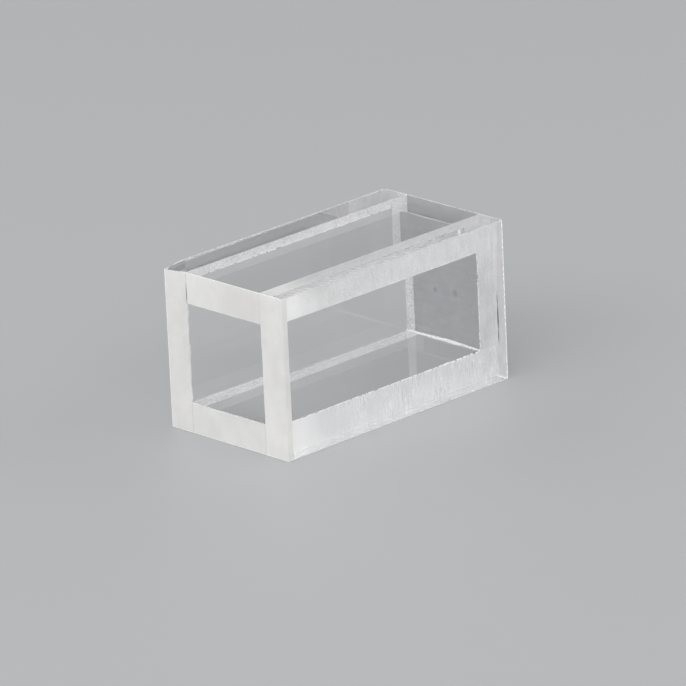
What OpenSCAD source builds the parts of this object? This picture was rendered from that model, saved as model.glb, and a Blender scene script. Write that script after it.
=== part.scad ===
// Rectangular optical cell (cuvette), lying on one long side.
// Three plates make a U: an upper and a lower side plate with a base plate between them at one end.
// The broad sides of the U are ground flat to the light path, and a polished window is bonded over
// each of them. The cell is open at its mouth, at the -X end. Millimetres, +X from mouth to base,
// +Y from the front window to the back window, +Z up, with the origin under the middle of the cell.

/* [Sample well] */
// Light path: the distance between the two windows, inside
light_path = 10; // [2:0.5:20]
// Height of the well, between the two side plates
well_height = 10; // [4:0.5:20]
// Depth of the well, from the mouth to the base plate
well_depth = 27.8; // [12:0.1:60]

/* [Plates] */
// Thickness of each window
window_thickness = 3; // [1:0.25:5]
// Thickness of each side plate
side_thickness = 3.15; // [1:0.05:5]
// Thickness of the base plate
base_thickness = 2.2; // [1:0.1:5]

/* [Ground edges] */
// Arris taken off every outer edge of the bonded cell
arris = 0.1; // [0.05:0.05:0.4]

/* [Hidden] */

cell_length = well_depth + base_thickness;
cell_width = light_path + 2 * window_thickness;
cell_height = well_height + 2 * side_thickness;

mouth_x = -cell_length / 2;
base_x = mouth_x + well_depth;
front_y = -cell_width / 2;
frame_front_y = -light_path / 2;
frame_back_y = light_path / 2;
well_floor_z = side_thickness;
well_roof_z = side_thickness + well_height;

// A rectangle with its corner at the origin and an arris taken off each of its four corners
module arrised_rectangle(length, width) {
    polygon([
        [arris, 0], [length - arris, 0],
        [length, arris], [length, width - arris],
        [length - arris, width], [arris, width],
        [0, width - arris], [0, arris]
    ]);
}

// The outside of the bonded cell, a block with an arris along all twelve edges
module outside() {
    intersection() {
        translate([mouth_x, front_y, 0])
            linear_extrude(height = cell_height) arrised_rectangle(cell_length, cell_width);
        translate([mouth_x, -front_y, 0]) rotate([90, 0, 0])
            linear_extrude(height = cell_width) arrised_rectangle(cell_length, cell_height);
        translate([mouth_x, front_y, 0]) rotate([90, 0, 90])
            linear_extrude(height = cell_length) arrised_rectangle(cell_width, cell_height);
    }
}

// A flat plate with its low corner and size as given, finished to the outside of the cell
module plate(corner, size) {
    intersection() {
        outside();
        translate(corner) cube(size);
    }
}

// A window as long and as high as the cell, with its front face at y
module window(y) {
    plate([mouth_x, y, 0], [cell_length, window_thickness, cell_height]);
}

// A side plate as long as the cell, between the windows, with its underside at z
module side_plate(z) {
    plate([mouth_x, frame_front_y, z], [cell_length, light_path, side_thickness]);
}

// The window towards the front, bonded to the front of the U
module front_window() {
    color("whitesmoke") window(front_y);
}

// The window towards the back, bonded to the back of the U
module back_window() {
    color("whitesmoke") window(frame_back_y);
}

// The upper arm of the U
module upper_side_plate() {
    color("gainsboro") side_plate(well_roof_z);
}

// The lower arm of the U, which the cell lies on
module lower_side_plate() {
    color("gainsboro") side_plate(0);
}

// The foot of the U, between the side plates and between the windows, which closes the well
module base_plate() {
    color("lightslategray")
        plate([base_x, frame_front_y, well_floor_z], [base_thickness, light_path, well_height]);
}

front_window();
back_window();
upper_side_plate();
lower_side_plate();
base_plate();
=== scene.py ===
"""Dresses a bonded optical cell: clear plates, ground and polished faces, chipped edges, a studio."""

import math
from collections import namedtuple

import bmesh
import bpy
from mathutils import Matrix, Vector, noise


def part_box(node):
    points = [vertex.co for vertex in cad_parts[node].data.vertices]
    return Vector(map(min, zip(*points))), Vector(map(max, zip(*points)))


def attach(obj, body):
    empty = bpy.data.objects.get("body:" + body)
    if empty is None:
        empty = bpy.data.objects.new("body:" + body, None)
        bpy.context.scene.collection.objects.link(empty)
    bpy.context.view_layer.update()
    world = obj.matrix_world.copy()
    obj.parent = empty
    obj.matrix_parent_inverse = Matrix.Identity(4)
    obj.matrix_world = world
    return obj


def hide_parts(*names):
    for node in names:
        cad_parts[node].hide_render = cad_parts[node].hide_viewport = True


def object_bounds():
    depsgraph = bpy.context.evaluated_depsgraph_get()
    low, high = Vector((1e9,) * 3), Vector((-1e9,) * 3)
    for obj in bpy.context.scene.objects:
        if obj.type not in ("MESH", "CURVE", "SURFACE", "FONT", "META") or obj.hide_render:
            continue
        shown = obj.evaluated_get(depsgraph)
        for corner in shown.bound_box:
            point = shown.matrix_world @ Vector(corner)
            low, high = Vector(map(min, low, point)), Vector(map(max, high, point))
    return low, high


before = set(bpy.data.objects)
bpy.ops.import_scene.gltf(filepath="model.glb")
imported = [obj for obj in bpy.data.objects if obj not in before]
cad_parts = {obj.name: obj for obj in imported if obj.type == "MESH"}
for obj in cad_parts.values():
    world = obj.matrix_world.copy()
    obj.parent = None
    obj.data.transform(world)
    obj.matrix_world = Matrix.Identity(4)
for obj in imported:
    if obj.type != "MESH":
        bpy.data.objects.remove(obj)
cad_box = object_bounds()
low, high = Vector(cad_box[0]), Vector(cad_box[1])
middle = (low + high) / 2

MM = 0.001
X, Y, Z = 0, 1, 2

back_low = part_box("back_window")[0]
front_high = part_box("front_window")[1]
base_low, base_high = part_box("base_plate")
base_face = base_low.x
well_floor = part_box("lower_side_plate")[1].z
well_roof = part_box("upper_side_plate")[0].z

# The refractive index of optical crown glass, and that of a joint which light crosses without bending
CROWN_IOR = 1.517
CONTACT_IOR = 1.0

# How far each bonded face stands back from its joint, and how near a plane a point must be to lie on it
JOINT_GAP = 0.002 * MM
NEAR = 0.0005 * MM

# The arris on the outer edges, and the steps that round it
ARRIS = 0.1 * MM
ARRIS_STEPS = 3

# The ground margin round the mouth on the outside of each window
RIM_MARGIN = 0.7 * MM

# Chips on the sharp inner edges: how far apart their corners lie, how long a nick and a cluster of nicks
# run, how strongly each shows, and the least and the added depth of a bite as shares of the chips' width
CHIP_PITCH = 0.11 * MM
NICK_LENGTH = 1.4 * CHIP_PITCH
NICK_SHARE = 0.7
CLUSTER_LENGTH = 7.3 * CHIP_PITCH
CLUSTER_SHARE = 0.8
BITE_LEVEL = 0.3
LEAST_BITE = 0.35
ADDED_BITE = 1.1

# Broken glass is painted white in most places, as painted glints, and stays clear in the rest: how long
# each place runs on a chipped edge and on a bead of bond, and the noise level above which it is white
CHIP_SPARKLE = 1.3 * CHIP_PITCH
CRUST_SPARKLE = 1.6 * CHIP_PITCH
SPARKLE_LEVEL = -0.3

# How wide the chips are on each edge that has them
MOUTH_CHIPS_FRONT = 0.08 * MM
MOUTH_CHIPS_BACK = 0.15 * MM
MOUTH_CHIPS_SIDE = 0.06 * MM
SIDE_CHIPS_FRONT = 0.1 * MM
SIDE_CHIPS_BACK = 0.13 * MM
BASE_CHIPS_FRONT = 0.08 * MM
BASE_CHIPS_BACK = 0.12 * MM

# The flakes broken off two corners: how far each runs along X, Y and Z in mm
FAR_FLAKE = (0.22, 0.22, 0.22)
MOUTH_FLAKE = (2.8, 2.9, 0.3)

# The ground chamfer on the far upright edge of the back window
FAR_CHAMFER = 0.55 * MM

# The lap of the front bond on the far end of the front window, at the floor and at the roof of the well
LAP_LOW = 0.5 * MM
LAP_HIGH = 1.2 * MM

# The beads of bond at the foot of the well, at its floor and at its roof
LOWER_BEAD = 0.26 * MM
UPPER_BEAD = 0.1 * MM
BEAD_SIDES = 16
BEAD_LUMP = 1.9 * CHIP_PITCH
BEAD_LUMPINESS = 0.55

# The edges painted white, partly for wear and partly as painted highlight where they catch the light: the
# two sides that meet there, each as its axis and which end of it, and how wide the white is in mm. The
# other edges are clean.
WORN_AND_HIGHLIT_EDGES = [
    (((X, 1), (Y, -1)), 0.17),
    (((X, 1), (Z, 1)), 0.15),
    (((Y, 1), (Z, 1)), 0.15),
    (((X, -1), (Y, 1)), 0.12),
    (((X, -1), (Z, -1)), 0.1),
    (((Y, -1), (Z, -1)), 0.1),
    (((X, -1), (Z, 1)), 0.04),
]


def linear(hex_colour):
    """An sRGB hex colour as the linear RGBA that a shader takes."""
    channels = [int(hex_colour[i : i + 2], 16) / 255 for i in (1, 3, 5)]
    return [c / 12.92 if c <= 0.04045 else ((c + 0.055) / 1.055) ** 2.4 for c in channels] + [1.0]


def add(tree, kind, settings=None, links=None):
    """Adds a node, sets its properties or input values by name, and links sockets to its inputs."""
    node = tree.nodes.new(kind)
    for key, value in (settings or {}).items():
        if isinstance(key, str) and hasattr(node, key):
            setattr(node, key, value)
        else:
            node.inputs[key].default_value = value
    for key, socket in (links or {}).items():
        tree.links.new(socket, node.inputs[key])
    return node


def material(name):
    """An empty node material, its tree, and the place on the cell that its patterns follow."""
    made = bpy.data.materials.new(name)
    made.use_nodes = True
    tree = made.node_tree
    tree.nodes.clear()
    return made, tree, add(tree, "ShaderNodeTexCoord").outputs["Object"]


# Glass broken up by grit scatters light as a rough skin does
FROST_ROUGHNESS = 0.6


def frosted(tree, colour, through, normal=None):
    """The skin of a broken glass surface: rough, white, and letting a share of the light glow through.

    colour is a pattern's socket, or one hex colour for a skin that is the same all over.
    """
    skin = add(tree, "ShaderNodeBsdfPrincipled", {"Roughness": FROST_ROUGHNESS, "IOR": CROWN_IOR})
    glow = add(tree, "ShaderNodeBsdfTranslucent")
    for layer, socket in ((skin, skin.inputs["Base Color"]), (glow, glow.inputs["Color"])):
        if isinstance(colour, str):
            socket.default_value = linear(colour)
        else:
            tree.links.new(colour, socket)
        if normal:
            tree.links.new(normal, layer.inputs["Normal"])
    return add(tree, "ShaderNodeMixShader", {"Fac": through}, {1: skin.outputs[0], 2: glow.outputs[0]})


def shaded(tree, shader, light_share, passed):
    """Finishes a material so that it lets a share of the lamplight through to what is behind it.

    passed is the light that comes out of each unit that goes in, as a grey.
    """
    passing = add(tree, "ShaderNodeBsdfTransparent", {"Color": linear(passed)})
    ray = add(tree, "ShaderNodeLightPath")
    share = add(tree, "ShaderNodeMath", {"operation": "MULTIPLY", 1: light_share},
                {0: ray.outputs["Is Shadow Ray"]})
    either = add(tree, "ShaderNodeMixShader", None,
                 {0: share.outputs[0], 1: shader, 2: passing.outputs[0]})
    add(tree, "ShaderNodeOutputMaterial", links={"Surface": either.outputs[0]})


# How long one ragged bite of the white edge runs, how far its border wanders and how wide the border fades,
# the last two as shares of the white edge's width
EDGE_WHITE_BITE = 0.3 * MM
EDGE_WHITE_WANDER = 2
EDGE_WHITE_FADE = 0.3


def edge_wear_and_highlight(tree, where):
    """How white a place is painted, for wear and painted highlight: 1 along the listed edges, 0 further in,
    with a ragged border.
    """
    offset = add(tree, "ShaderNodeVectorMath", {"operation": "SUBTRACT", 1: middle}, {0: where})
    chips = add(tree, "ShaderNodeTexNoise", {"Scale": 1 / EDGE_WHITE_BITE, "Detail": 3.0}, {"Vector": where})
    most = None
    for sides, width in WORN_AND_HIGHLIT_EDGES:
        # How far inside each of the edge's two sides the place lies. The larger of the two is taken as
        # how far it lies from the edge.
        inside = []
        for axis, side in sides:
            outward = [side if axis == other else 0 for other in (X, Y, Z)]
            reach = add(tree, "ShaderNodeVectorMath", {"operation": "DOT_PRODUCT", 1: outward},
                        {0: offset.outputs[0]})
            half = ((high - low) / 2)[axis]
            inside.append(add(tree, "ShaderNodeMath", {"operation": "SUBTRACT", 0: half},
                              {1: reach.outputs["Value"]}).outputs[0])
        apart = add(tree, "ShaderNodeMath", {"operation": "MAXIMUM"}, {0: inside[0], 1: inside[1]})
        ragged = add(tree, "ShaderNodeMath", {"operation": "MULTIPLY_ADD", 1: -EDGE_WHITE_WANDER * width * MM},
                     {0: chips.outputs["Fac"], 2: apart.outputs[0]})
        worn_and_highlit = add(tree, "ShaderNodeMapRange", {
            "From Min": -EDGE_WHITE_FADE * width * MM,
            "From Max": EDGE_WHITE_FADE * width * MM,
            "To Min": 1.0,
            "To Max": 0.0,
        }, {"Value": ragged.outputs[0]}).outputs[0]
        most = add(tree, "ShaderNodeMath", {"operation": "MAXIMUM"},
                   {0: most, 1: worn_and_highlit}).outputs[0] if most else worn_and_highlit
    return most


def clear_glass(name, ior, passed, worn_and_highlit=False):
    """Clear glass that bends what is seen through it. If asked, its outer edges are painted white, for wear
    and painted highlight.
    """
    made, tree, where = material(name)
    glass = add(tree, "ShaderNodeBsdfPrincipled", {
        "Base Color": linear("#FDFDFD"),
        "Roughness": 0.0,
        "IOR": ior,
        "Transmission Weight": 1.0,
    })
    shader = glass.outputs[0]
    if worn_and_highlit:
        broken = frosted(tree, "#FFFFFF", through=0.2)
        shader = add(tree, "ShaderNodeMixShader", None,
                     {0: edge_wear_and_highlight(tree, where), 1: shader, 2: broken.outputs[0]}).outputs[0]
    shaded(tree, shader, 1.0, passed)
    return made


Stain = namedtuple("Stain", "centre reach colour strength")

# How ragged a stain's border is, and how far out it begins and ends, as shares of the stain's reach
STAIN_RAGGED = 1.2
STAIN_BORDER = (1.2, 1.9)


def stained(tree, where, colour, grain, stain):
    """Lays one stain with a ragged border over a colour."""
    offset = add(tree, "ShaderNodeVectorMath", {"operation": "SUBTRACT", 1: stain.centre}, {0: where})
    spread = add(tree, "ShaderNodeVectorMath", {"operation": "DIVIDE", 1: [r * MM for r in stain.reach]},
                 {0: offset.outputs[0]})
    distance = add(tree, "ShaderNodeVectorMath", {"operation": "LENGTH"}, {0: spread.outputs[0]})
    ragged = add(tree, "ShaderNodeMath", {"operation": "MULTIPLY_ADD", 1: STAIN_RAGGED}, {
        0: grain,
        2: distance.outputs["Value"],
    })
    share = add(tree, "ShaderNodeMapRange", {
        "From Min": STAIN_BORDER[0],
        "From Max": STAIN_BORDER[1],
        "To Min": stain.strength,
        "To Max": 0.0,
    }, {"Value": ragged.outputs[0]})
    return add(tree, "ShaderNodeMix", {"data_type": "RGBA", "B": linear(stain.colour)},
               {"Factor": share.outputs[0], "A": colour}).outputs["Result"]


# Deep scratches: the size of one along X, Y and Z in mm, drawn some ten times as wide as a real one so
# that it shows, the size of a drift of them and the noise levels where a drift begins and is full, and
# how far in from the mouth they begin and are full
SCRATCH = (0.14, 0.14, 1.0)
DRIFT = 2.4 * MM
DRIFT_LEVELS = (0.42, 0.56)
SCRATCHED_FROM = 5 * MM
SCRATCHED_FULLY = 9 * MM

# The bright and the dark scratches: their colour, and the noise levels where one begins and is full
SCRATCH_TINTS = [("#FFFFFF", 0.56, 0.68), ("#B8B8BB", 0.42, 0.32)]


def scratched(tree, where, along, colour, strength, tint, begins, full):
    """Lays sparse upright scratches over a colour, in drifts that begin some way in from the mouth."""
    pull = add(tree, "ShaderNodeMapping", {"Scale": [1 / (length * MM) for length in SCRATCH]},
               {"Vector": where})
    line = add(tree, "ShaderNodeTexNoise", {"Scale": 1.0, "Detail": 1.0, "Distortion": 0.4},
               {"Vector": pull.outputs[0]})
    cut = add(tree, "ShaderNodeMapRange", {"From Min": begins, "From Max": full},
              {"Value": line.outputs["Fac"]})
    drift = add(tree, "ShaderNodeTexNoise", {"Scale": 1 / DRIFT, "Detail": 1.0}, {"Vector": where})
    patch = add(tree, "ShaderNodeMapRange", {
        "From Min": DRIFT_LEVELS[0],
        "From Max": DRIFT_LEVELS[1],
        "To Max": strength,
    }, {"Value": drift.outputs["Fac"]})
    reach = add(tree, "ShaderNodeMapRange", {
        "From Min": low.x + SCRATCHED_FROM,
        "From Max": low.x + SCRATCHED_FULLY,
    }, {"Value": along})
    here = add(tree, "ShaderNodeMath", {"operation": "MULTIPLY"},
               {0: cut.outputs[0], 1: patch.outputs[0]})
    share = add(tree, "ShaderNodeMath", {"operation": "MULTIPLY"},
                {0: here.outputs[0], 1: reach.outputs[0]})
    return add(tree, "ShaderNodeMix", {"data_type": "RGBA", "B": linear(tint)},
               {"Factor": share.outputs[0], "A": colour}).outputs["Result"]


# Clouds of lighter and darker grinding, how deep the grains stand, and how much lamplight a ground face
# lets through with what grey
CLOUD = 1.6 * MM
GRAIN_DEPTH = 0.02 * MM
GRAIN_RELIEF = 0.3
GROUND_LIGHT_SHARE = 0.4
GROUND_PASSED = "#F7F7F7"


def ground_glass(name, tone, shade, grit, contrast, mottling, through, strokes, stroke_share=(0.0, 0.0),
                 marks=(), scratches=0.0):
    """Ground glass: a white frosted skin with grit, grinding strokes and soft mottling.

    tone and shade are its light and dark colour, grit the size of a grain in mm, contrast how sharply the
    two part, mottling the share of the broad clouds, through how much light comes through, strokes the
    size of a stroke in mm on each axis, stroke_share its strength at the mouth and at the base, marks the
    stains, and scratches how strong the sparse deep scratches are. Real grit and strokes are 0.01 to
    0.03 mm, too fine to show, so they are drawn about ten times as coarse.
    """
    made, tree, where = material(name)
    grain = add(tree, "ShaderNodeTexNoise", {"Scale": 1 / (grit * MM), "Detail": 2.0, "Roughness": 0.6},
                {"Vector": where})
    mottle = add(tree, "ShaderNodeTexNoise", {"Scale": 1 / CLOUD, "Detail": 4.0}, {"Vector": where})
    stretch = add(tree, "ShaderNodeMapping", {"Scale": [1 / (length * MM) for length in strokes]},
                  {"Vector": where})
    stroke = add(tree, "ShaderNodeTexNoise", {"Scale": 1.0, "Detail": 2.0},
                 {"Vector": stretch.outputs[0]})
    parts = add(tree, "ShaderNodeSeparateXYZ", links={"Vector": where})
    share = add(tree, "ShaderNodeMapRange", {
        "From Min": low.x,
        "From Max": high.x,
        "To Min": stroke_share[0],
        "To Max": stroke_share[1],
    }, {"Value": parts.outputs["X"]})
    cut_marks = add(tree, "ShaderNodeMix", {"data_type": "FLOAT"},
                    {"Factor": share.outputs[0], "A": grain.outputs["Fac"], "B": stroke.outputs["Fac"]})
    texture = add(tree, "ShaderNodeMix", {"data_type": "FLOAT", "Factor": mottling},
                  {"A": cut_marks.outputs["Result"], "B": mottle.outputs["Fac"]})
    ramp = add(tree, "ShaderNodeValToRGB", links={"Fac": texture.outputs["Result"]})
    ramp.color_ramp.elements[0].position = 0.5 - contrast
    ramp.color_ramp.elements[0].color = linear(shade)
    ramp.color_ramp.elements[1].position = 0.5 + contrast
    ramp.color_ramp.elements[1].color = linear(tone)
    colour = ramp.outputs["Color"]
    if scratches:
        for tint, begins, full in SCRATCH_TINTS:
            colour = scratched(tree, where, parts.outputs["X"], colour, scratches, tint, begins, full)
    for mark in marks:
        colour = stained(tree, where, colour, grain.outputs["Fac"], mark)
    # The listed edges are painted white, partly for wear and partly as painted highlight
    colour = add(tree, "ShaderNodeMix", {"data_type": "RGBA", "B": linear("#FFFFFF")},
                 {"Factor": edge_wear_and_highlight(tree, where), "A": colour}).outputs["Result"]
    bump = add(tree, "ShaderNodeBump", {"Strength": GRAIN_RELIEF, "Distance": GRAIN_DEPTH},
               {"Height": cut_marks.outputs["Result"]})
    skin = frosted(tree, colour, through, bump.outputs["Normal"])
    shaded(tree, skin.outputs[0], GROUND_LIGHT_SHARE, GROUND_PASSED)
    return made


# Dark paint in one seam of the mouth, as painted shade in its open gap; its two other seams; a painted
# shade on its upper bar; and a painted glow, as light that the ground mouth sheds on the bonds beside it
SEAM_GAP_SHADE = Stain((low.x, back_low.y, well_roof + 0.95 * MM), (1.0, 0.055, 1.0), "#2C2C2E", 0.85)
MOUTH_SEAMS = [Stain((low.x, seam, middle.z), (1.0, 0.06, 40.0), "#CDCCCA", 0.55)
               for seam in (front_high.y, back_low.y)]
PAINTED_MOUTH_SHADE = Stain((low.x, -2.6 * MM, well_roof + 1.4 * MM), (1.0, 3.0, 2.0), "#D8D6D5", 0.6)
PAINTED_MOUTH_GLOW = Stain((low.x, front_high.y, middle.z), (5.0, 2.0, 40.0), "#FAFAF9", 0.8)

# The open seam on the far end of the front window, painted dark as shade in its gap, a touch of rust at the
# foot of the back bond, and two spots on the outside of the base
OPEN_SEAM_SHADE = [Stain((high.x, -5.72 * MM, 7.9 * MM), (1.0, 0.09, 0.75), "#2C2C2E", 1.0),
             Stain((high.x, -5.76 * MM, 6.1 * MM), (1.0, 0.16, 1.35), "#2C2C2E", 1.0),
             Stain((high.x, -5.78 * MM, 4.2 * MM), (1.0, 0.1, 0.7), "#2C2C2E", 1.0)]
RUST_TINT = Stain((base_face, base_high.y, well_floor + 0.6 * MM), (1.0, 0.5, 0.9), "#CAB8AB", 0.4)
FAR_SPOTS = [Stain((high.x, 2.0 * MM, 7.65 * MM), (1.0, 0.25, 0.25), "#7F7F85", 0.45),
             Stain((high.x, -0.75 * MM, 7.85 * MM), (1.0, 0.3, 0.4), "#7F7F85", 0.45)]

# Grinding strokes that stand upright, and ones that run across the cell: their size in mm
UPRIGHT = (0.3, 0.3, 2.6)
ACROSS = (0.5, 3.0, 0.5)

# Optical crown glass, ground flat and then polished: colourless and mirror-smooth, so it is seen by what
# it bends and mirrors. Its edges were only ground, and the listed ones are painted as thin white lines,
# partly for wear and partly as painted highlight.
POLISHED = clear_glass("polished_crown_glass", CROWN_IOR, passed="#EAEAEA", worn_and_highlit=True)

# Two clear faces bonded so closely that light does not bend between them: the joint is out of sight.
JOINT = clear_glass("clear_joint", CONTACT_IOR, passed="#FFFFFF")

# The mouth, ground across all the plates at once with fine grit: an even, slightly warm matt white, cut
# only by the seams of the two windows. Its upper bar has a painted shade, and one seam painted shade in its
# open gap.
GROUND_END = ground_glass(
    "ground_mouth", tone="#ECEBE9", shade="#DDDCDA", grit=0.12, contrast=0.2, mottling=0.5, through=0.3,
    strokes=UPRIGHT, stroke_share=(0.1, 0.1), marks=[*MOUTH_SEAMS, SEAM_GAP_SHADE, PAINTED_MOUTH_SHADE])

# The front of the frame, ground by hand and bonded under the window: a cooler white than the mouth, with
# upright strokes that grow towards the base. Beside the mouth it is lightened by a painted glow.
GROUND_BOND = ground_glass(
    "ground_bond", tone="#E6E6E6", shade="#C8C8CA", grit=0.2, contrast=0.17, mottling=0.35, through=0.42,
    strokes=UPRIGHT, stroke_share=(0.1, 0.4), marks=[PAINTED_MOUTH_GLOW])

# The same face on the lower plate, where coarser grit left deep scratches: drifts of bright and dark
# upright lines. Beside the mouth it too is lightened by a painted glow.
GROUND_BOND_LOWER = ground_glass(
    "scratched_ground_bond", tone="#E9E9EA", shade="#CDCDD0", grit=0.2, contrast=0.2, mottling=0.35,
    through=0.42, strokes=UPRIGHT, stroke_share=(0.1, 0.4), marks=[PAINTED_MOUTH_GLOW], scratches=0.5)

# The back of the frame, ground with coarse grit and seen from within the glass: white with grey specks
# that sparkle.
GROUND_BACK = ground_glass(
    "coarse_ground_bond", tone="#FFFFFF", shade="#CACACD", grit=0.19, contrast=0.13, mottling=0.15,
    through=0.6, strokes=UPRIGHT, marks=[RUST_TINT])

# The outside of the base and of the side plates at the far end, ground on a flat lap, with faint strokes
# across it. Its soft smoky grey is painted shade, darker than the other ground faces.
GROUND_FAR_SHADED = ground_glass(
    "ground_foot_shaded", tone="#B9BABD", shade="#A4A5A8", grit=0.3, contrast=0.2, mottling=0.4, through=0.5,
    strokes=ACROSS, stroke_share=(0.6, 0.6), marks=FAR_SPOTS)

# The far end of the front window where the bond laps over it: a brighter white than the bare ground end,
# parted by the open seam, painted dark as shade in its gap.
GROUND_LAP = ground_glass(
    "ground_lap", tone="#E9E9EA", shade="#C9C9CC", grit=0.2, contrast=0.17, mottling=0.35, through=0.42,
    strokes=UPRIGHT, stroke_share=(0.4, 0.4), marks=OPEN_SEAM_SHADE)

# The bare far ends of the windows and the chamfer on the back one, ground and left dry: a greyer white.
# The open seam's painted shade reaches into it.
GROUND_SIDE_END = ground_glass(
    "ground_window_end", tone="#DADADB", shade="#C0C0C3", grit=0.2, contrast=0.2, mottling=0.4, through=0.4,
    strokes=UPRIGHT, stroke_share=(0.2, 0.2), marks=OPEN_SEAM_SHADE)

# Fresh breaks in the glass and crusts of set bond, painted the brightest white of all in small sparks:
# painted glints.
CHIPPED_GLINTS = ground_glass(
    "chipped_glass_glints", tone="#FFFFFF", shade="#E6E6E6", grit=0.1, contrast=0.1, mottling=0.1, through=0.4,
    strokes=UPRIGHT)

PALETTE = [POLISHED, JOINT, GROUND_END, GROUND_BOND, GROUND_BOND_LOWER, GROUND_BACK, GROUND_FAR_SHADED,
           GROUND_LAP, GROUND_SIDE_END, CHIPPED_GLINTS]


def on(point, axis, value):
    """Whether a point lies on an axis plane."""
    return abs(point[axis] - value) < NEAR


def faces_along(normal, axis):
    """Whether a face looks straight along an axis, one way or the other."""
    return abs(normal[axis]) > 0.999


def outer_planes(point):
    """The block's outer planes that a point lies on."""
    sides = [(axis, end[axis]) for axis in (X, Y, Z) for end in (low, high)]
    return {(axis, value) for axis, value in sides if on(point, axis, value)}


# Which sides of a plate are bonded on one axis
NEITHER, LOW_SIDE, HIGH_SIDE, BOTH = 0, -1, 1, 2


def plate(node, bonded):
    """A plate as a box, its bonded sides standing back from the joint and its outer edges rounded.

    bonded says, for each axis, which sides stand back.
    """
    lo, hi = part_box(node)
    for axis, sides in enumerate(bonded):
        lo[axis] += JOINT_GAP if sides in (LOW_SIDE, BOTH) else 0
        hi[axis] -= JOINT_GAP if sides in (HIGH_SIDE, BOTH) else 0
    mesh = bmesh.new()
    bmesh.ops.create_cube(mesh, size=1.0)
    bmesh.ops.scale(mesh, vec=hi - lo, verts=mesh.verts)
    bmesh.ops.translate(mesh, vec=(lo + hi) / 2, verts=mesh.verts)
    outer = [e for e in mesh.edges
             if len(outer_planes(e.verts[0].co) & outer_planes(e.verts[1].co)) == 2]
    bmesh.ops.bevel(mesh, geom=outer, offset=ARRIS, offset_type="OFFSET", segments=ARRIS_STEPS,
                    profile=0.5, affect="EDGES", material=-1)
    return mesh, lo, hi


def divide(mesh, point, normal):
    """Divides every face that a plane crosses, so that each side can have its own finish."""
    everything = mesh.verts[:] + mesh.edges[:] + mesh.faces[:]
    bmesh.ops.bisect_plane(mesh, geom=everything, dist=NEAR / 10, plane_co=point, plane_no=normal)


def trim(mesh, point, outward):
    """Cuts off what lies beyond a plane and closes the mesh there; gives the new face."""
    everything = mesh.verts[:] + mesh.edges[:] + mesh.faces[:]
    cut = bmesh.ops.bisect_plane(mesh, geom=everything, dist=NEAR / 10, plane_co=point,
                                 plane_no=outward, clear_outer=True)
    rim = [g for g in cut["geom_cut"] if isinstance(g, bmesh.types.BMEdge)]
    return bmesh.ops.contextual_create(mesh, geom=rim)["faces"]


def flake_corner(mesh, corner, reach, finish):
    """Breaks a flake off the block at a corner; reach is how far the break runs in mm on each axis."""
    corner = Vector(corner)
    inward = [1 if corner[axis] == low[axis] else -1 for axis in (X, Y, Z)]
    ends = [corner.copy() for _ in reach]
    for axis, length in enumerate(reach):
        ends[axis][axis] += inward[axis] * length * MM
    outward = (ends[1] - ends[0]).cross(ends[2] - ends[0]).normalized()
    if outward.dot(corner - ends[0]) < 0:
        outward.negate()
    for face in trim(mesh, ends[0], outward):
        face.material_index = PALETTE.index(finish)


def line_edges(mesh, first, second, span):
    """Edges on the line where two axis planes meet, between two places on the third axis."""
    along = X + Y + Z - first[0] - second[0]
    found = []
    for edge in mesh.edges:
        ends = [v.co for v in edge.verts]
        on_line = all(on(end, axis, value) for end in ends for axis, value in (first, second))
        if on_line and all(span[0] - NEAR < end[along] < span[1] + NEAR for end in ends):
            found.append(edge)
    return found


def glints(place, run):
    """Whether broken glass is painted white at a place, as a painted glint, rather than clear; run is how
    long each place runs.
    """
    return noise.noise(place / run) > SPARKLE_LEVEL


def chip_edge(mesh, edges, width, growth, finish=None):
    """Breaks a sharp edge into small shell-like chips: a narrow bevel whose two borders wander.

    growth(place) scales the chips along the edge.
    """
    start = edges[0].verts[0].co.copy()
    along = (edges[0].verts[1].co - start).normalized()
    length = max((v.co - start).length for e in edges for v in e.verts)
    strip = bmesh.ops.bevel(mesh, geom=edges, offset=width, offset_type="OFFSET", segments=1,
                            profile=0.5, affect="EDGES", material=-1)["faces"]
    for face in strip:
        sides = [e for e in face.edges if abs((e.verts[1].co - e.verts[0].co).dot(along)) > CHIP_PITCH]
        if len(sides) == 2:
            cuts = round(sides[0].calc_length() / CHIP_PITCH)
            bmesh.ops.subdivide_edges(mesh, edges=sides, cuts=cuts)

    def foot(vert):
        return start + along * (vert.co - start).dot(along)

    borders = {v for v in mesh.verts if abs((v.co - foot(v)).length - width) < NEAR
               and -CHIP_PITCH < abs((v.co - start).dot(along)) < length + CHIP_PITCH}
    chips = [f for f in mesh.faces if len(f.verts) == 4 and all(v in borders for v in f.verts)]
    for face in chips:
        # Chips are painted white as glints in places and left clear in the rest
        broken = CHIPPED_GLINTS if glints(face.calc_center_median(), CHIP_SPARKLE) else POLISHED
        face.material_index = PALETTE.index(finish or broken)
    for vert in borders:
        base = foot(vert)
        reach = vert.co - base
        # The two borders read the noise in places far apart, so that they wander on their own
        border = reach.normalized() * 7
        nick = NICK_SHARE * noise.noise(base / NICK_LENGTH + border)
        cluster = CLUSTER_SHARE * noise.noise(base / CLUSTER_LENGTH + border)
        bite = LEAST_BITE + ADDED_BITE * growth(base) * max(0.0, BITE_LEVEL + nick + cluster)
        vert.co = base + reach * bite


def paint(mesh, rule):
    """Gives each face the finish that rule(centre, normal) names."""
    mesh.normal_update()
    for face in mesh.faces:
        face.material_index = PALETTE.index(rule(face.calc_center_median(), face.normal))


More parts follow.
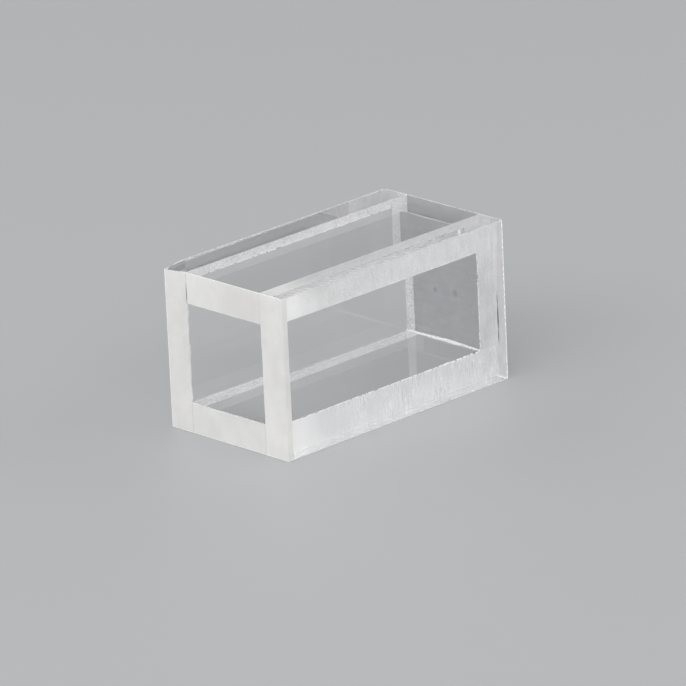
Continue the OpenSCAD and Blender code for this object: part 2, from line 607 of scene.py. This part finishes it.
def publish(mesh, name, node=None):
    """Makes the finished mesh an object that rides on the cell and may stand for a CAD node."""
    bmesh.ops.recalc_face_normals(mesh, faces=mesh.faces)
    # The operators leave the faces in another order on each run, so they are put in order of place
    placed = sorted(mesh.faces, key=lambda face: tuple(face.calc_center_median()))
    for number, face in enumerate(placed):
        face.index = number
    mesh.faces.sort()
    data = bpy.data.meshes.new(name)
    mesh.to_mesh(data)
    mesh.free()
    for made in PALETTE:
        data.materials.append(made)
    piece = bpy.data.objects.new(name, data)
    bpy.context.scene.collection.objects.link(piece)
    if node:
        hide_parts(node)
    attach(piece, "root")
    return piece


def steady(place):
    """Chips that are the same size all along."""
    return 1.0


def near_base(place):
    """Chips that grow from half their size at the mouth to well over it at the base."""
    return 0.5 + 1.2 * ((place.x - low.x) / (base_face - low.x)) ** 2


def window(node, name):
    """A window: polished but for its ground ends, with a ground margin round the mouth."""
    front = node == "front_window"
    mesh, lo, hi = plate(node, (NEITHER, HIGH_SIDE if front else LOW_SIDE, NEITHER))
    inner, outer = (hi.y, lo.y) if front else (lo.y, hi.y)
    inward = 1 if front else -1
    lap_foot = Vector((high.x, inner - inward * LAP_LOW, well_floor))
    lap_line = Vector((0, -inward * (LAP_HIGH - LAP_LOW), well_roof - well_floor))
    lap_side = lap_line.cross((1, 0, 0))
    joint_side = (Vector((0, inner, 0)) - lap_foot).dot(lap_side)
    divide(mesh, (0, 0, well_floor), (0, 0, 1))
    divide(mesh, (0, 0, well_roof), (0, 0, 1))
    divide(mesh, (base_face, 0, 0), (1, 0, 0))
    divide(mesh, (low.x + RIM_MARGIN, 0, 0), (1, 0, 0))
    divide(mesh, lap_foot, lap_side)

    def rule(centre, normal):
        if on(centre, X, low.x):
            return GROUND_END
        if on(centre, X, high.x):
            beside_joint = (centre - lap_foot).dot(lap_side) * joint_side > 0
            return GROUND_LAP if beside_joint else GROUND_SIDE_END
        if on(centre, Y, inner):
            bonded = not well_floor < centre.z < well_roof or centre.x > base_face
            return JOINT if bonded else POLISHED
        if on(centre, Y, outer):
            return GROUND_END if centre.x < low.x + RIM_MARGIN else POLISHED
        if faces_along(normal, Z):
            return POLISHED
        top_arris = centre.z > hi.z - 1.01 * ARRIS and abs(normal.x) < 0.01
        return GROUND_BOND if front and top_arris else GROUND_END

    paint(mesh, rule)
    mouth = line_edges(mesh, (X, low.x), (Y, inner), (well_floor, well_roof))
    chip_edge(mesh, mouth, MOUTH_CHIPS_FRONT if front else MOUTH_CHIPS_BACK, steady, GROUND_END)
    if front:
        # The far flake is painted white as a glint
        flake_corner(mesh, (high.x, low.y, high.z), FAR_FLAKE, CHIPPED_GLINTS)
    else:
        flake_corner(mesh, (low.x, high.y, high.z), MOUTH_FLAKE, POLISHED)
        for face in trim(mesh, (high.x - FAR_CHAMFER, high.y, 0), (1, 1, 0)):
            face.material_index = PALETTE.index(GROUND_SIDE_END)
    publish(mesh, name, node)


def side_plate(node, name):
    """An arm of the frame: polished towards the well, ground where the windows are bonded to it."""
    mesh, lo, hi = plate(node, (NEITHER, BOTH, NEITHER))
    lower = node == "lower_side_plate"
    inner = hi.z if lower else lo.z
    front_finish = GROUND_BOND_LOWER if lower else GROUND_BOND
    divide(mesh, (base_face, 0, 0), (1, 0, 0))

    def rule(centre, normal):
        if faces_along(normal, Y):
            return GROUND_BACK if centre.y > 0 else front_finish
        if on(centre, X, high.x):
            return GROUND_FAR_SHADED
        if on(centre, X, low.x):
            return GROUND_END
        if on(centre, Z, inner):
            return JOINT if centre.x > base_face else POLISHED
        return POLISHED if faces_along(normal, Z) else GROUND_END

    paint(mesh, rule)
    well = (low.x, base_face)
    chip_edge(mesh, line_edges(mesh, (Y, lo.y), (Z, inner), well), SIDE_CHIPS_FRONT, near_base)
    chip_edge(mesh, line_edges(mesh, (Y, hi.y), (Z, inner), well), SIDE_CHIPS_BACK, steady)
    rim = (lo.y, hi.y)
    # The chips on the mouth edge are all painted white as glints
    chip_edge(mesh, line_edges(mesh, (X, low.x), (Z, inner), rim), MOUTH_CHIPS_SIDE, steady, CHIPPED_GLINTS)
    publish(mesh, name, node)


def base():
    """The foot of the frame: clear towards the well, its far face ground."""
    mesh, lo, hi = plate("base_plate", (NEITHER, BOTH, BOTH))

    def rule(centre, normal):
        if faces_along(normal, Y):
            return GROUND_BACK if centre.y > 0 else GROUND_BOND
        if faces_along(normal, Z):
            return JOINT
        return GROUND_FAR_SHADED if on(centre, X, high.x) else POLISHED

    paint(mesh, rule)
    for side, width in ((lo.y, BASE_CHIPS_FRONT), (hi.y, BASE_CHIPS_BACK)):
        chip_edge(mesh, line_edges(mesh, (X, lo.x), (Y, side), (lo.z, hi.z)), width, steady)
    publish(mesh, "base_glass", "base_plate")


def bond_bead(name, corner_z, up, radius):
    """A bead of set bond in the corner between the base and a side plate, unevenly swollen, its crust
    painted with white glints.

    up is 1 where the bead lies on the floor of the well and -1 where it hangs from the roof.
    """
    length = base_high.y - base_low.y
    mesh = bmesh.new()
    bmesh.ops.create_cone(mesh, cap_ends=True, segments=BEAD_SIDES, radius1=radius, radius2=radius,
                          depth=length, matrix=Matrix.Rotation(math.pi / 2, 4, "X"))
    sides = [e for e in mesh.edges if e.calc_length() > length / 2]
    bmesh.ops.subdivide_edges(mesh, edges=sides, cuts=round(length / CHIP_PITCH))
    for vert in mesh.verts:
        # Thin at both ends and fullest a little to the front of the middle
        along = vert.co.y / length
        swell = 0.3 + 0.6 * math.exp(-((along + 0.05) / 0.36) ** 2)
        swell *= 1 + BEAD_LUMPINESS * noise.noise(vert.co / BEAD_LUMP)
        vert.co.x *= swell
        vert.co.z *= swell
    bmesh.ops.translate(mesh, vec=(base_face, 0, corner_z), verts=mesh.verts)
    trim(mesh, (base_face - JOINT_GAP, 0, 0), (1, 0, 0))
    trim(mesh, (0, 0, corner_z + up * JOINT_GAP), (0, 0, -up))

    def crust_glints(centre, normal):
        return CHIPPED_GLINTS if glints(centre, CRUST_SPARKLE) else POLISHED

    paint(mesh, crust_glints)
    publish(mesh, name)


window("front_window", "front_window_glass")
window("back_window", "back_window_glass")
side_plate("upper_side_plate", "upper_side_glass")
side_plate("lower_side_plate", "lower_side_glass")
base()
bond_bead("lower_bond_bead", well_floor, 1, LOWER_BEAD)
bond_bead("upper_bond_bead", well_roof, -1, UPPER_BEAD)

# Where the camera stands, in degrees round the cell, above the bench and tipped to one side, how far off
# it is, how far right of and below the cell's middle it aims, and its lens and film in mm
CAMERA_AZIMUTH = -43.98
CAMERA_ELEVATION = 19.17
CAMERA_ROLL = -2.65
CAMERA_DISTANCE = 757 * MM
AIM_RIGHT = 0.42 * MM
AIM_BELOW = 1.96 * MM
LENS = 412.3
FILM_WIDTH = 36.0


def camera():
    """A long lens that looks into the mouth and down on the long side."""
    azimuth, elevation, roll = (math.radians(a) for a in (CAMERA_AZIMUTH, CAMERA_ELEVATION, CAMERA_ROLL))
    away = Vector((math.sin(azimuth) * math.cos(elevation), -math.cos(azimuth) * math.cos(elevation),
                   math.sin(elevation)))
    right = Vector((0, 0, 1)).cross(away).normalized()
    up = away.cross(right)
    aim = middle + right * AIM_RIGHT - up * AIM_BELOW
    turned_right = right * math.cos(roll) + up * math.sin(roll)
    turned_up = up * math.cos(roll) - right * math.sin(roll)
    data = bpy.data.cameras.new("camera")
    data.lens = LENS
    data.sensor_width = FILM_WIDTH
    made = bpy.data.objects.new("camera", data)
    place = Matrix((turned_right, turned_up, away)).transposed().to_4x4()
    place.translation = aim + away * CAMERA_DISTANCE
    made.matrix_world = place
    bpy.context.scene.collection.objects.link(made)
    bpy.context.scene.camera = made


# The bench: half its width, and how far it lies under the cell so that the two do not touch
BENCH_REACH = 2.0
BENCH_DROP = 0.03 * MM


def floor():
    """A plain pale bench of matt painted board, which gives an even light grey with soft shadows."""
    mesh = bmesh.new()
    bmesh.ops.create_grid(mesh, x_segments=1, y_segments=1, size=BENCH_REACH)
    bmesh.ops.translate(mesh, vec=(0, 0, -BENCH_DROP), verts=mesh.verts)
    data = bpy.data.meshes.new("floor")
    mesh.to_mesh(data)
    mesh.free()
    made, tree, _ = material("pale_floor")
    skin = add(tree, "ShaderNodeBsdfPrincipled", {"Base Color": linear("#ACAEB0"), "Roughness": 0.5})
    add(tree, "ShaderNodeOutputMaterial", links={"Surface": skin.outputs[0]})
    data.materials.append(made)
    piece = bpy.data.objects.new("floor", data)
    bpy.context.scene.collection.objects.link(piece)


# The lamps: how wide and how high a panel is and where each one hangs, in metres, and its power in
# watts. They hang well above the bench, so that polished faces mirror them only from steep views and
# without glare.
PANEL = (2.6, 0.7)
LAMPS = [
    ("key", (-1.15, -0.63, 0.92), 24.2),
    ("fill", (0.59, -1.17, 0.92), 10.0),
    ("back", (-0.54, 1.19, 0.92), 12.5),
    ("rim", (1.25, -0.40, 0.92), 5.5),
]
ROOM_GREY = 0.3


def lamp(name, place, power):
    """A soft panel aimed at the middle of the cell."""
    data = bpy.data.lights.new(name, "AREA")
    data.shape = "RECTANGLE"
    data.size, data.size_y = PANEL
    data.energy = power
    made = bpy.data.objects.new(name, data)
    made.location = place
    aim = Vector((0, 0, high.z / 2)) - Vector(place)
    made.rotation_euler = aim.to_track_quat("-Z", "Y").to_euler()
    bpy.context.scene.collection.objects.link(made)


def studio():
    """Soft lamps all round, so that upright ground faces are lit as well as the bench is."""
    world = bpy.data.worlds.new("studio")
    world.use_nodes = True
    room = world.node_tree.nodes["Background"]
    room.inputs["Color"].default_value = (ROOM_GREY, ROOM_GREY, ROOM_GREY, 1)
    room.inputs["Strength"].default_value = 1.0
    bpy.context.scene.world = world
    for name, place, power in LAMPS:
        lamp(name, place, power)


camera()
floor()
studio()
bpy.context.scene.view_settings.view_transform = "Standard"
